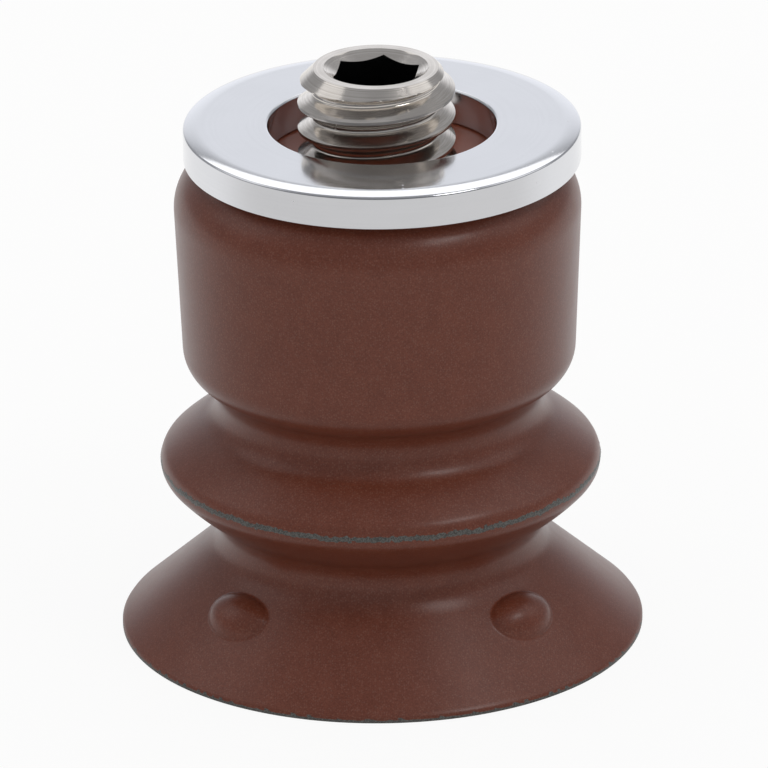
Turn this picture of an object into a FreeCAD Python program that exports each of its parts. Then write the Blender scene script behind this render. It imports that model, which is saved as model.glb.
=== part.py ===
"""Threaded bellows suction cup: rubber bellows, threaded core, hollow set screw and loose washer.

The origin is the centre of the lip's sealing edge, and +Z is the cup's axis, up to the thread.
Sizes are in millimetres and degrees.
"""
import FreeCAD
import Part
import Sketcher
import math
import os

from FreeCAD import Placement, Rotation, Vector

doc = FreeCAD.newDocument("suction_cup")

SIZES = {
    # rubber moulding, outside
    "cup_height": 18.9,
    "collar_radius": 7.69,
    "collar_foot_radius": 7.455,
    "shoulder_radius": 1.9,
    "collar_corner_radius": 1.3,
    "collar_corner_height": 11.45,
    "fold_radius": 8.37,
    "fold_rise": 5.167,
    "nose_radius": 0.88,
    "nose_angle": 46.6,
    "flank_radius": 3.55,
    "upper_neck_radius": 5.68,
    "lower_neck_radius": 5.715,
    "lip_radius": 9.95,
    "lip_land": 0.18,
    "skirt_angle": 41.6,
    "flare_radius": 8.0,
    "flare_end_radius": 7.2,
    # rubber moulding, inside
    "fold_wall": 0.7,
    "lip_edge_width": 0.3,
    "top_skin": 1.2,
    # living hinges, where the moulding bends
    "collar_hinge_drop": 2.22,
    "crest_hinge_rise": 0.13,
    "lip_hinge_height": 3.45,
    # round bosses on the skirt
    "boss_ring_radius": 7.46,
    "boss_radius": 1.15,
    "boss_height": 0.35,
    "boss_root": 0.25,
    "boss_edge_radius": 0.25,
    "boss_phase": 45,
    "boss_count": 4,
    # threaded core
    "core_height": 3.6,
    "core_flange_radius": 5.7,
    "core_flange_thickness": 1.4,
    "core_hub_radius": 4.2,
    "core_edge": 0.2,
    "bond_clearance": 0.02,
    # hollow set screw, M6
    "thread_radius": 2.97,
    "thread_pitch_radius": 2.675,
    "thread_clearance": 0.05,
    "thread_seat_gap": 0.05,
    "screw_length": 8.0,
    "screw_projection": 2.23,
    "screw_end_radius": 2.36,
    "screw_foot_chamfer": 0.4,
    "key_flats": 3.0,
    "key_mouth_radius": 1.95,
    "key_mouth_angle": 120,
    "key_phase": 20,
    # loose washer
    "washer_radius": 7.5,
    "washer_bore_radius": 4.3,
    "washer_thickness": 1.4,
    "washer_edge_radius": 0.1,
    "washer_shift": 0.2,
}


# height of the fold's crest, which stands that far above the skirt under it
FOLD = "(lip_land + (lip_radius - fold_radius) * tan(skirt_angle) + fold_rise)"


def make_sheet():
    """Write the driving dimensions to a spreadsheet, one alias each."""
    cells = doc.addObject("Spreadsheet::Sheet", "Sizes")
    for row, (alias, value) in enumerate(SIZES.items(), 1):
        cells.set("A%d" % row, alias)
        cells.set("B%d" % row, str(value))
        cells.setAlias("B%d" % row, alias)
    doc.recompute()
    return cells


sheet = make_sheet()


def size(alias):
    """Return the value of one driving dimension."""
    return float(sheet.get(alias))


def formula(text):
    """Point every driving dimension's name in a formula at its cell."""
    words = []
    word = ""
    for letter in text + " ":
        if letter.isalnum() or letter == "_":
            word += letter
            continue
        words.append("Sizes." + word if word in SIZES else word)
        words.append(letter)
        word = ""
    return "".join(words).strip()


def new_body(label):
    body = doc.addObject("PartDesign::Body", label)
    body.Label = label
    return body


def origin_feature(body, role):
    """Return the body's own origin plane or axis of that role."""
    return [item for item in body.Origin.OriginFeatures if item.Role == role][0]


def new_sketch(body, label, plane):
    sketch = body.newObject("Sketcher::SketchObject", label)
    sketch.AttachmentSupport = [(origin_feature(body, plane), "")]
    sketch.MapMode = "FlatFace"
    return sketch


class Outline:
    """A closed chain of lines and arcs in a sketch, each joined to the one before it."""

    def __init__(self, sketch):
        self.sketch = sketch
        self.chain = []
        self.count = 0

    def add(self, geometry, start, end, smooth):
        """Add a piece of the chain, and join it to the last one, tangent to it if smooth."""
        index = self.sketch.addGeometry(geometry, False)
        if self.chain:
            self.join(self.chain[-1][0], self.chain[-1][2], index, start, smooth)
        self.chain.append((index, start, end))
        return index

    def join(self, first, first_end, second, second_end, smooth):
        kind = "Tangent" if smooth else "Coincident"
        self.sketch.addConstraint(Sketcher.Constraint(kind, first, first_end, second, second_end))

    def line(self, begin, finish, smooth=False):
        return self.add(Part.LineSegment(Vector(*begin, 0), Vector(*finish, 0)), 1, 2, smooth)

    def arc(self, centre, radius, begin, finish, smooth=True):
        """Add the shorter arc about a centre from one point to another."""
        first = math.atan2(begin[1] - centre[1], begin[0] - centre[0])
        last = math.atan2(finish[1] - centre[1], finish[0] - centre[0])
        circle = Part.Circle(Vector(*centre, 0), Vector(0, 0, 1), radius)
        if (last - first) % (2 * math.pi) < math.pi:
            return self.add(Part.ArcOfCircle(circle, first, last), 1, 2, smooth)
        return self.add(Part.ArcOfCircle(circle, last, first), 2, 1, smooth)

    def close(self, smooth=False):
        first, last = self.chain[0], self.chain[-1]
        self.join(last[0], last[2], first[0], first[1], smooth)

    def end(self, index):
        """Return which end of a piece the chain leaves by."""
        return [item[2] for item in self.chain if item[0] == index][0]

    def rule(self, kind, *where):
        self.sketch.addConstraint(Sketcher.Constraint(kind, *where))

    def bind(self, kind, where, text, value):
        """Add a dimension to the sketch and bind it to a formula of the sheet's cells."""
        index = self.sketch.addConstraint(Sketcher.Constraint(kind, *where, value))
        self.count += 1
        name = "size_%d" % self.count
        self.sketch.renameConstraint(index, name)
        self.sketch.setExpression("Constraints." + name, formula(text))

    def across(self, index, end, text, value):
        """Bind a point's distance from the axis."""
        self.bind("DistanceX", (-1, 1, index, end), text, value)

    def up(self, index, end, text, value):
        """Bind a point's height above the sketch's origin."""
        self.bind("DistanceY", (-1, 1, index, end), text, value)

    def neck(self, arc, centre, text, value):
        """Bind how near the axis an arc's circle comes, with a level helper line from its centre."""
        begin, finish = Vector(*centre, 0), Vector(value, centre[1], 0)
        helper = self.sketch.addGeometry(Part.LineSegment(begin, finish), True)
        self.rule("Coincident", helper, 1, arc, 3)
        self.rule("PointOnObject", helper, 2, arc)
        self.rule("Horizontal", helper)
        self.across(helper, 2, text, value)


def level_where(low, high, gap):
    """Return the height between two heights where a gap falls to nothing."""
    for _ in range(60):
        middle = (low + high) / 2
        if gap(middle) > 0:
            low = middle
        else:
            high = middle
    return (low + high) / 2


def round_beside(centre, radius, neck, height):
    """Return the radius of the circle at a height that touches another circle and a neck.

    The circles touch from outside, or the new one lies within the other if its radius is negative.
    """
    across = neck - centre[0]
    return ((height - centre[1]) ** 2 + across ** 2 - radius ** 2) / (2 * (radius - across))


def toward(centre, target, reach):
    """Return the point that far from a centre on the way to a target."""
    span = math.dist(centre, target)
    return (
        centre[0] + (target[0] - centre[0]) * reach / span,
        centre[1] + (target[1] - centre[1]) * reach / span,
    )


class CupProfile:
    """Half section of the rubber moulding, worked out from the driving dimensions."""

    def __init__(self):
        self.skirt = math.radians(size("skirt_angle"))
        self.nose_turn = math.radians(size("nose_angle"))
        self.shoulder = (
            size("collar_radius") - size("shoulder_radius"),
            size("cup_height") - size("shoulder_radius"),
        )
        self.corner = (
            size("collar_foot_radius") - size("collar_corner_radius"),
            size("collar_corner_height"),
        )
        under = size("lip_land") + (size("lip_radius") - size("fold_radius")) * math.tan(self.skirt)
        self.nose = (size("fold_radius") - size("nose_radius"), under + size("fold_rise"))
        self.flank_gap = size("flank_radius") - size("nose_radius")
        self.upper_flank = self.from_nose(-self.flank_gap, 1)
        self.lower_flank = self.from_nose(-self.flank_gap, -1)
        self.skirt_top = (
            size("flare_end_radius"),
            size("lip_land") + (size("lip_radius") - size("flare_end_radius")) * math.tan(self.skirt),
        )
        self.flare = (
            self.skirt_top[0] + size("flare_radius") * math.sin(self.skirt),
            self.skirt_top[1] + size("flare_radius") * math.cos(self.skirt),
        )
        self.upper_groove, self.upper_round = self.find_upper_groove()
        self.lower_groove, self.lower_round = self.find_lower_groove()
        self.side_normal = self.find_side_normal()

    def from_nose(self, reach, side):
        """Return a point on the line through the nose's centre where nose and flank meet."""
        return (
            self.nose[0] + reach * math.cos(self.nose_turn),
            self.nose[1] + side * reach * math.sin(self.nose_turn),
        )

    def find_side_normal(self):
        """Return the outward direction of the collar's drafted side."""
        across = self.shoulder[0] - self.corner[0]
        rise = self.shoulder[1] - self.corner[1]
        step = size("collar_corner_radius") - size("shoulder_radius")
        turn = math.asin(step / math.hypot(across, rise)) - math.atan2(across, rise)
        return (math.cos(turn), math.sin(turn))

    def find_upper_groove(self):
        """Return centre and radius of the groove that touches the collar's corner and upper flank."""
        neck = size("upper_neck_radius")

        def beside_corner(height):
            return round_beside(self.corner, size("collar_corner_radius"), neck, height)

        def beside_flank(height):
            return round_beside(self.upper_flank, size("flank_radius"), neck, height)

        height = level_where(
            self.upper_flank[1], self.corner[1], lambda level: beside_corner(level) - beside_flank(level)
        )
        return (neck + beside_flank(height), height), beside_flank(height)

    def find_lower_groove(self):
        """Return centre and radius of the groove that touches the lower flank and the skirt's flare."""
        neck = size("lower_neck_radius")

        def beside_flank(height):
            return round_beside(self.lower_flank, size("flank_radius"), neck, height)

        def within_flare(height):
            return round_beside(self.flare, -size("flare_radius"), neck, height)

        height = level_where(
            self.skirt_top[1], self.lower_flank[1], lambda level: beside_flank(level) - within_flare(level)
        )
        return (neck + beside_flank(height), height), beside_flank(height)

    def inner_lip_touch(self, centre, radius):
        """Return where the skirt's inside leaves the inner side of the lower groove."""
        foot = (size("lip_radius") - size("lip_edge_width"), 0)
        span = math.dist(foot, centre)
        turn = math.atan2(foot[1] - centre[1], foot[0] - centre[0]) - math.acos(radius / span)
        return (centre[0] + radius * math.cos(turn), centre[1] + radius * math.sin(turn))


def draw_cup(sketch):
    """Draw the moulding's half section: outside from the collar to the lip, then back up inside."""
    cup = CupProfile()
    line = Outline(sketch)
    wall = size("fold_wall")
    top = size("cup_height")
    hole = size("thread_pitch_radius") + size("thread_clearance")
    side = cup.side_normal

    def off(centre, radius):
        return (centre[0] + radius * side[0], centre[1] + radius * side[1])

    upper_touch = toward(cup.upper_flank, cup.upper_groove, size("flank_radius"))
    lower_touch = toward(cup.lower_flank, cup.lower_groove, size("flank_radius"))
    corner_touch = toward(cup.corner, cup.upper_groove, size("collar_corner_radius"))
    flare_touch = toward(cup.flare, cup.lower_groove, size("flare_radius"))
    lip_top = (size("lip_radius"), size("lip_land"))
    lip_foot = (size("lip_radius"), 0)
    lip_inside = (size("lip_radius") - size("lip_edge_width"), 0)

    flat = line.line((hole, top), (cup.shoulder[0], top))
    shoulder = line.arc(
        cup.shoulder,
        size("shoulder_radius"),
        (cup.shoulder[0], top),
        off(cup.shoulder, size("shoulder_radius")),
    )
    line.line(
        off(cup.shoulder, size("shoulder_radius")), off(cup.corner, size("collar_corner_radius")), smooth=True
    )
    corner = line.arc(
        cup.corner, size("collar_corner_radius"), off(cup.corner, size("collar_corner_radius")), corner_touch
    )
    upper_groove = line.arc(cup.upper_groove, cup.upper_round, corner_touch, upper_touch)
    upper_flank = line.arc(
        cup.upper_flank, size("flank_radius"), upper_touch, cup.from_nose(size("nose_radius"), 1)
    )
    nose = line.arc(
        cup.nose,
        size("nose_radius"),
        cup.from_nose(size("nose_radius"), 1),
        cup.from_nose(size("nose_radius"), -1),
    )
    lower_flank = line.arc(
        cup.lower_flank, size("flank_radius"), cup.from_nose(size("nose_radius"), -1), lower_touch
    )
    lower_groove = line.arc(cup.lower_groove, cup.lower_round, lower_touch, flare_touch)
    flare = line.arc(cup.flare, size("flare_radius"), flare_touch, cup.skirt_top)
    skirt = line.line(cup.skirt_top, lip_top, smooth=True)
    land = line.line(lip_top, lip_foot)
    edge = line.line(lip_foot, lip_inside)

    inner_groove_radius = cup.lower_round + wall
    inner_touch = cup.inner_lip_touch(cup.lower_groove, inner_groove_radius)
    inner_lower = toward(cup.lower_flank, cup.lower_groove, size("flank_radius") - wall)
    inner_upper = toward(cup.upper_flank, cup.upper_groove, size("flank_radius") - wall)
    cavity = size("upper_neck_radius") - wall
    line.line(lip_inside, inner_touch)
    groove_in = line.arc(cup.lower_groove, inner_groove_radius, inner_touch, inner_lower)
    flank_in = line.arc(
        cup.lower_flank,
        size("flank_radius") - wall,
        inner_lower,
        cup.from_nose(size("nose_radius") - wall, -1),
    )
    nose_in = line.arc(
        cup.nose,
        size("nose_radius") - wall,
        cup.from_nose(size("nose_radius") - wall, -1),
        cup.from_nose(size("nose_radius") - wall, 1),
    )
    flank_up_in = line.arc(
        cup.upper_flank,
        size("flank_radius") - wall,
        cup.from_nose(size("nose_radius") - wall, 1),
        inner_upper,
    )
    groove_up_in = line.arc(
        cup.upper_groove, cup.upper_round + wall, inner_upper, (cavity, cup.upper_groove[1])
    )

    core_top = top - size("top_skin")
    core_foot = core_top - size("core_height")
    flange_top = core_foot + size("core_flange_thickness")
    flange = size("core_flange_radius") + size("bond_clearance")
    hub = size("core_hub_radius") + size("bond_clearance")
    bore = line.line((cavity, cup.upper_groove[1]), (cavity, core_foot), smooth=True)
    ledge = line.line((cavity, core_foot), (flange, core_foot))
    rim = line.line((flange, core_foot), (flange, flange_top))
    step = line.line((flange, flange_top), (hub, flange_top))
    neck = line.line((hub, flange_top), (hub, core_top))
    skin = line.line((hub, core_top), (hole, core_top))
    screw_hole = line.line((hole, core_top), (hole, top))
    line.close()

    for level in (flat, edge, ledge, step, skin):
        line.rule("Horizontal", level)
    for upright in (land, bore, rim, neck, screw_hole):
        line.rule("Vertical", upright)

    line.up(flat, 1, "cup_height", top)
    line.across(shoulder, 3, "collar_radius - shoulder_radius", cup.shoulder[0])
    line.bind("Radius", (shoulder,), "shoulder_radius", size("shoulder_radius"))
    line.across(corner, 3, "collar_foot_radius - collar_corner_radius", cup.corner[0])
    line.up(corner, 3, "collar_corner_height", cup.corner[1])
    line.bind("Radius", (corner,), "collar_corner_radius", size("collar_corner_radius"))
    line.neck(upper_groove, cup.upper_groove, "upper_neck_radius", size("upper_neck_radius"))
    line.across(nose, 3, "fold_radius - nose_radius", cup.nose[0])
    line.up(nose, 3, FOLD, cup.nose[1])
    line.bind("Radius", (nose,), "nose_radius", size("nose_radius"))
    rise = size("nose_radius") * math.sin(cup.nose_turn)
    outer_rise = "nose_radius * sin(nose_angle)"
    line.up(upper_flank, line.end(upper_flank), FOLD + " + " + outer_rise, cup.nose[1] + rise)
    line.up(nose, line.end(nose), FOLD + " - " + outer_rise, cup.nose[1] - rise)
    line.bind("Radius", (upper_flank,), "flank_radius", size("flank_radius"))
    line.bind("Radius", (lower_flank,), "flank_radius", size("flank_radius"))
    line.neck(lower_groove, cup.lower_groove, "lower_neck_radius", size("lower_neck_radius"))
    line.bind("Radius", (flare,), "flare_radius", size("flare_radius"))
    line.across(skirt, 1, "flare_end_radius", cup.skirt_top[0])
    line.across(skirt, 2, "lip_radius", lip_top[0])
    line.up(skirt, 2, "lip_land", lip_top[1])
    line.bind("Angle", (skirt,), "-skirt_angle", -cup.skirt)
    line.up(edge, 1, "0", 0)
    line.across(edge, 2, "lip_radius - lip_edge_width", lip_inside[0])

    inner_neck = size("lower_neck_radius") - wall
    line.neck(groove_in, cup.lower_groove, "lower_neck_radius - fold_wall", inner_neck)
    line.rule("Vertical", groove_in, 3, lower_groove, 3)
    line.bind("Radius", (flank_in,), "flank_radius - fold_wall", size("flank_radius") - wall)
    line.rule("Coincident", nose_in, 3, nose, 3)
    line.bind("Radius", (nose_in,), "nose_radius - fold_wall", size("nose_radius") - wall)
    rise_in = (size("nose_radius") - wall) * math.sin(cup.nose_turn)
    inner_rise = "(nose_radius - fold_wall) * sin(nose_angle)"
    line.up(flank_in, line.end(flank_in), FOLD + " - " + inner_rise, cup.nose[1] - rise_in)
    line.up(nose_in, line.end(nose_in), FOLD + " + " + inner_rise, cup.nose[1] + rise_in)
    line.bind("Radius", (flank_up_in,), "flank_radius - fold_wall", size("flank_radius") - wall)
    line.across(bore, 1, "upper_neck_radius - fold_wall", cavity)
    line.rule("Vertical", groove_up_in, 3, upper_groove, 3)

    line.up(ledge, 1, "cup_height - top_skin - core_height", core_foot)
    line.across(rim, 1, "core_flange_radius + bond_clearance", flange)
    line.up(step, 1, "cup_height - top_skin - core_height + core_flange_thickness", flange_top)
    line.across(neck, 1, "core_hub_radius + bond_clearance", hub)
    line.up(skin, 1, "cup_height - top_skin", core_top)
    line.across(screw_hole, 1, "thread_pitch_radius + thread_clearance", hole)


def draw_boss(sketch):
    """Draw half of a round boss about its own axis, which stands square on the skirt."""
    tilt = math.radians(size("skirt_angle"))
    seat = (
        size("boss_ring_radius"),
        size("lip_land") + (size("lip_radius") - size("boss_ring_radius")) * math.tan(tilt),
    )
    line = Outline(sketch)

    def at(out, height):
        """Return the point that far down the skirt from the axis, and that high above the skirt."""
        return (
            seat[0] + out * math.cos(tilt) + height * math.sin(tilt),
            seat[1] - out * math.sin(tilt) + height * math.cos(tilt),
        )

    wide, high = size("boss_radius"), size("boss_height")
    root, edge = size("boss_root"), size("boss_edge_radius")
    axle = line.line(at(0, high), at(0, -root))
    base = line.line(at(0, -root), at(wide, -root))
    side = line.line(at(wide, -root), at(wide, high - edge))
    round_edge = line.arc(at(wide - edge, high - edge), edge, at(wide, high - edge), at(wide - edge, high))
    crown = line.line(at(wide - edge, high), at(0, high), smooth=True)
    line.close()
    line.rule("Perpendicular", axle, base)
    line.rule("Parallel", axle, side)
    line.rule("Parallel", base, crown)
    seat_height = "lip_land + (lip_radius - boss_ring_radius) * tan(skirt_angle)"
    line.across(axle, 2, "boss_ring_radius - boss_root * sin(skirt_angle)", at(0, -root)[0])
    line.up(axle, 2, seat_height + " - boss_root * cos(skirt_angle)", at(0, -root)[1])
    line.bind("Angle", (base,), "-skirt_angle", -tilt)
    line.bind("Distance", (base,), "boss_radius", wide)
    line.bind("Distance", (axle,), "boss_height + boss_root", high + root)
    line.bind("Radius", (round_edge,), "boss_edge_radius", edge)
    sketch.addGeometry(Part.LineSegment(Vector(*at(0, high), 0), Vector(*at(0, -root), 0)), True)
    spare = sketch.GeometryCount - 1
    line.rule("Coincident", spare, 1, axle, 1)
    line.rule("Coincident", spare, 2, axle, 2)


def revolve(body, sketch, axis, kind="PartDesign::Revolution"):
    feature = body.newObject(kind, sketch.Label + "_turned")
    feature.Profile = sketch
    feature.ReferenceAxis = (sketch, [axis])
    feature.Angle = 360
    body.Tip = feature
    return feature


def make_moulding():
    """Turn the rubber cup in one piece, with its ring of bosses."""
    body = new_body("rubber_moulding")
    section = new_sketch(body, "cup_section", "XZ_Plane")
    draw_cup(section)
    doc.recompute()
    revolve(body, section, "V_Axis")
    doc.recompute()
    boss_section = new_sketch(body, "boss_section", "XZ_Plane")
    boss_section.AttachmentOffset = Placement(Vector(), Rotation(Vector(0, 1, 0), size("boss_phase")))
    boss_section.setExpression("AttachmentOffset.Rotation.Angle", formula("boss_phase"))
    draw_boss(boss_section)
    doc.recompute()
    boss = revolve(body, boss_section, "Axis0")
    doc.recompute()
    ring = body.newObject("PartDesign::PolarPattern", "boss_ring")
    ring.Originals = [boss]
    ring.Axis = (origin_feature(body, "Z_Axis"), [""])
    ring.Angle = 360
    ring.setExpression("Occurrences", formula("boss_count"))
    body.Tip = ring
    doc.recompute()
    return body


def cut_zone(moulding, label, foot, top):
    """Take the zone of the moulding that lies between two heights, which are formulas."""
    slab = doc.addObject("Part::Cylinder", label + "_slab")
    slab.setExpression("Radius", formula("2 * lip_radius"))
    slab.setExpression("Height", formula("(%s) - (%s)" % (top, foot)))
    slab.setExpression("Placement.Base.z", formula(foot))
    zone = doc.addObject("Part::Common", label)
    zone.Label = label
    zone.Base = moulding
    zone.Tool = slab
    zone.Refine = True
    doc.recompute()
    return zone


def make_core():
    """Turn the flanged core that the rubber is moulded round."""
    body = new_body("threaded_core")
    sketch = new_sketch(body, "core_section", "XZ_Plane")
    line = Outline(sketch)
    bore = size("thread_pitch_radius") + size("thread_clearance")
    hub, flange = size("core_hub_radius"), size("core_flange_radius")
    thick, high = size("core_flange_thickness"), size("core_height")
    foot = line.line((bore, 0), (flange, 0))
    rim = line.line((flange, 0), (flange, thick))
    step = line.line((flange, thick), (hub, thick))
    neck = line.line((hub, thick), (hub, high))
    crown = line.line((hub, high), (bore, high))
    inside = line.line((bore, high), (bore, 0))
    line.close()
    for level in (foot, step, crown):
        line.rule("Horizontal", level)
    for upright in (rim, neck, inside):
        line.rule("Vertical", upright)
    line.up(foot, 1, "0", 0)
    line.across(inside, 1, "thread_pitch_radius + thread_clearance", bore)
    line.across(rim, 1, "core_flange_radius", flange)
    line.up(step, 1, "core_flange_thickness", thick)
    line.across(neck, 1, "core_hub_radius", hub)
    line.up(crown, 1, "core_height", high)
    doc.recompute()
    turned = revolve(body, sketch, "V_Axis")
    doc.recompute()
    edges = ring_edges(turned.Shape, [(bore, 0), (bore, high)])
    bevel = body.newObject("PartDesign::Chamfer", "core_mouths")
    bevel.Base = (turned, edges)
    bevel.setExpression("Size", formula("core_edge"))
    body.Tip = bevel
    body.setExpression("Placement.Base.z", formula("cup_height - top_skin - core_height"))
    return body


def ring_edges(shape, places):
    """Return the names of the round edges at given radii and heights."""
    names = []
    for radius, height in places:
        for index, edge in enumerate(shape.Edges, 1):
            if not hasattr(edge.Curve, "Radius"):
                continue
            if abs(edge.Curve.Radius - radius) < 1e-4 and abs(edge.Curve.Center.z - height) < 1e-4:
                names.append("Edge%d" % index)
    return names


def make_screw():
    """Turn the set screw, then cut its key passage through and open both mouths."""
    body = new_body("hollow_set_screw")
    sketch = new_sketch(body, "screw_section", "XZ_Plane")
    line = Outline(sketch)
    pitch, thread, end = size("thread_pitch_radius"), size("thread_radius"), size("screw_end_radius")
    long, bevel = size("screw_length"), size("screw_foot_chamfer")
    seat = long - size("screw_projection") - size("washer_thickness") + size("thread_seat_gap")
    neck = long - (thread - end)
    foot = line.line((0, 0), (pitch - bevel, 0))
    tip = line.line((pitch - bevel, 0), (pitch, bevel))
    shank = line.line((pitch, bevel), (pitch, seat))
    shelf = line.line((pitch, seat), (thread, seat))
    crest = line.line((thread, seat), (thread, neck))
    chamfer = line.line((thread, neck), (end, long))
    top = line.line((end, long), (0, long))
    axle = line.line((0, long), (0, 0))
    line.close()
    for level in (foot, shelf, top):
        line.rule("Horizontal", level)
    for upright in (shank, crest, axle):
        line.rule("Vertical", upright)
    line.rule("Coincident", foot, 1, -1, 1)
    line.across(tip, 1, "thread_pitch_radius - screw_foot_chamfer", pitch - bevel)
    line.up(tip, 2, "screw_foot_chamfer", bevel)
    line.across(shank, 1, "thread_pitch_radius", pitch)
    line.up(shelf, 1, "screw_length - screw_projection - washer_thickness + thread_seat_gap", seat)
    line.across(crest, 1, "thread_radius", thread)
    line.up(crest, 2, "screw_length - thread_radius + screw_end_radius", neck)
    line.across(chamfer, 2, "screw_end_radius", end)
    line.up(top, 1, "screw_length", long)
    doc.recompute()
    revolve(body, sketch, "V_Axis")
    doc.recompute()
    cut_key(body)
    open_mouths(body)
    body.setExpression(
        "Placement.Base.z", formula("cup_height + washer_thickness + screw_projection - screw_length")
    )
    return body


def cut_key(body):
    """Cut the six-sided passage through the screw."""
    sketch = new_sketch(body, "key_outline", "XY_Plane")
    sketch.AttachmentOffset = Placement(Vector(), Rotation(Vector(0, 0, 1), size("key_phase")))
    sketch.setExpression("AttachmentOffset.Rotation.Angle", formula("key_phase"))
    line = Outline(sketch)
    reach = size("key_flats") / math.sqrt(3)
    turns = [math.radians(60 * step) for step in range(6)]
    corners = [(reach * math.cos(turn), reach * math.sin(turn)) for turn in turns]
    sides = [line.line(corners[step], corners[(step + 1) % 6]) for step in range(6)]
    line.close()
    ring = sketch.addGeometry(Part.Circle(Vector(), Vector(0, 0, 1), reach), True)
    line.rule("Coincident", ring, 3, -1, 1)
    line.bind("Radius", (ring,), "key_flats / sqrt(3)", reach)
    for side in sides:
        line.rule("PointOnObject", side, 1, ring)
    for side in sides[1:]:
        line.rule("Equal", sides[0], side)
    line.rule("PointOnObject", sides[0], 1, -1)
    doc.recompute()
    passage = body.newObject("PartDesign::Pocket", "key_passage")
    passage.Profile = sketch
    passage.Type = "ThroughAll"
    passage.Reversed = True
    body.Tip = passage
    doc.recompute()


def open_mouths(body):
    """Countersink the passage at both ends."""
    mouth = size("key_mouth_radius")
    deep = mouth / math.tan(math.radians(size("key_mouth_angle") / 2))
    for label, level, text, side in (
        ("upper_mouth", size("screw_length"), "screw_length", -1),
        ("lower_mouth", 0, "0", 1),
    ):
        sketch = new_sketch(body, label, "XZ_Plane")
        line = Outline(sketch)
        edge = line.line((0, level), (mouth, level))
        cone = line.line((mouth, level), (0, level + side * deep))
        axle = line.line((0, level + side * deep), (0, level))
        line.close()
        line.rule("Horizontal", edge)
        line.rule("Vertical", axle)
        line.rule("PointOnObject", edge, 1, -2)
        line.up(edge, 1, text, level)
        line.across(cone, 1, "key_mouth_radius", mouth)
        sign = "+" if side > 0 else "-"
        depth = "%s %s key_mouth_radius / tan(key_mouth_angle / 2)" % (text, sign)
        line.up(axle, 1, depth, level + side * deep)
        doc.recompute()
        revolve(body, sketch, "V_Axis", "PartDesign::Groove")
        doc.recompute()


def make_washer():
    """Pad the flat washer and round its edges. It lies loose, a little to one side."""
    body = new_body("loose_washer")
    sketch = new_sketch(body, "washer_outline", "XY_Plane")
    line = Outline(sketch)
    for alias in ("washer_radius", "washer_bore_radius"):
        ring = sketch.addGeometry(Part.Circle(Vector(), Vector(0, 0, 1), size(alias)), False)
        line.rule("Coincident", ring, 3, -1, 1)
        line.bind("Radius", (ring,), alias, size(alias))
    doc.recompute()
    disc = body.newObject("PartDesign::Pad", "washer_disc")
    disc.Profile = sketch
    disc.setExpression("Length", formula("washer_thickness"))
    body.Tip = disc
    doc.recompute()
    places = [
        (size(alias), height)
        for alias in ("washer_radius", "washer_bore_radius")
        for height in (0, size("washer_thickness"))
    ]
    rounding = body.newObject("PartDesign::Fillet", "washer_edges")
    rounding.Base = (disc, ring_edges(disc.Shape, places))
    rounding.setExpression("Radius", formula("washer_edge_radius"))
    body.Tip = rounding
    body.setExpression("Placement.Base.x", formula("washer_shift"))
    body.setExpression("Placement.Base.z", formula("cup_height"))
    return body


COLLAR_HINGE = "collar_corner_height - collar_hinge_drop"
CREST_HINGE = FOLD + " + crest_hinge_rise"
LIP_HINGE = "lip_hinge_height"
moulding = make_moulding()
NODES = [
    cut_zone(moulding, "cup_collar", COLLAR_HINGE, "cup_height + top_skin"),
    cut_zone(moulding, "upper_fold_wall", CREST_HINGE, COLLAR_HINGE),
    cut_zone(moulding, "lower_fold_wall", LIP_HINGE, CREST_HINGE),
    cut_zone(moulding, "sealing_lip", "-lip_land", LIP_HINGE),
    make_core(),
    make_screw(),
    make_washer(),
]
doc.recompute()

for item in doc.Objects:
    if "Invalid" in item.State or "Error" in item.State:
        raise RuntimeError("%s did not build: %s" % (item.Label, item.State))
    if item.isDerivedFrom("Sketcher::SketchObject") and item.solve() != 0:
        raise RuntimeError("%s is not solved" % item.Label)

os.makedirs("parts", exist_ok=True)
for node in NODES:
    if node.Shape.isNull() or not node.Shape.isValid() or len(node.Shape.Solids) != 1:
        raise RuntimeError("%s is not one sound solid" % node.Label)
    node.Shape.exportStep("parts/%s.step" % node.Label)
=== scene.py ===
"""Dressed scene of the threaded bellows suction cup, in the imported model's frame.

Sizes are in millimetres and become metres when a mesh is made. A half section is an array of
(radius, height) rows. Angles round the axis are counted from +X towards +Y, and a light's or the
camera's azimuth from the front (-Y) towards the right (+X).
"""
import logging
import math
from dataclasses import dataclass, field
from enum import Enum

import bmesh
import bpy
import numpy as np
from mathutils import Matrix, Vector


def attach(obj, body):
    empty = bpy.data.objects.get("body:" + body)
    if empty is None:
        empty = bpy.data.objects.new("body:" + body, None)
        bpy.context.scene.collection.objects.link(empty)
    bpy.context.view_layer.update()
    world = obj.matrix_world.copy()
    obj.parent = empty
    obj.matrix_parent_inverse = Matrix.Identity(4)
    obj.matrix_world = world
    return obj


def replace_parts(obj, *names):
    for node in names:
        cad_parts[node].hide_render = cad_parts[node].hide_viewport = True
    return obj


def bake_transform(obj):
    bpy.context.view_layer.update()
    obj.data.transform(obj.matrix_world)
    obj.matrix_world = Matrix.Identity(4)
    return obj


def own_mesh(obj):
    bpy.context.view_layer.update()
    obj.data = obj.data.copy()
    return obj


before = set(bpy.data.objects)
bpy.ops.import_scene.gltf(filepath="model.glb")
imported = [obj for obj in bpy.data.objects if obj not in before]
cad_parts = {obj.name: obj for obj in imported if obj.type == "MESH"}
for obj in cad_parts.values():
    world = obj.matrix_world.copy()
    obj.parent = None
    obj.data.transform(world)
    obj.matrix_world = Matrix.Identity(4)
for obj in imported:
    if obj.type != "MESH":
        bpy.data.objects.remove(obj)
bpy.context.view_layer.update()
MM = 0.001
SEED = 41
SEAM_STEPS = np.array([0.0, 0.008, 0.02, 0.04, 0.07])
ROW_GAP = 0.004
SAME_POINT = 1e-7
HALVINGS = 60
RAGGED_WAVES = 48
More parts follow.
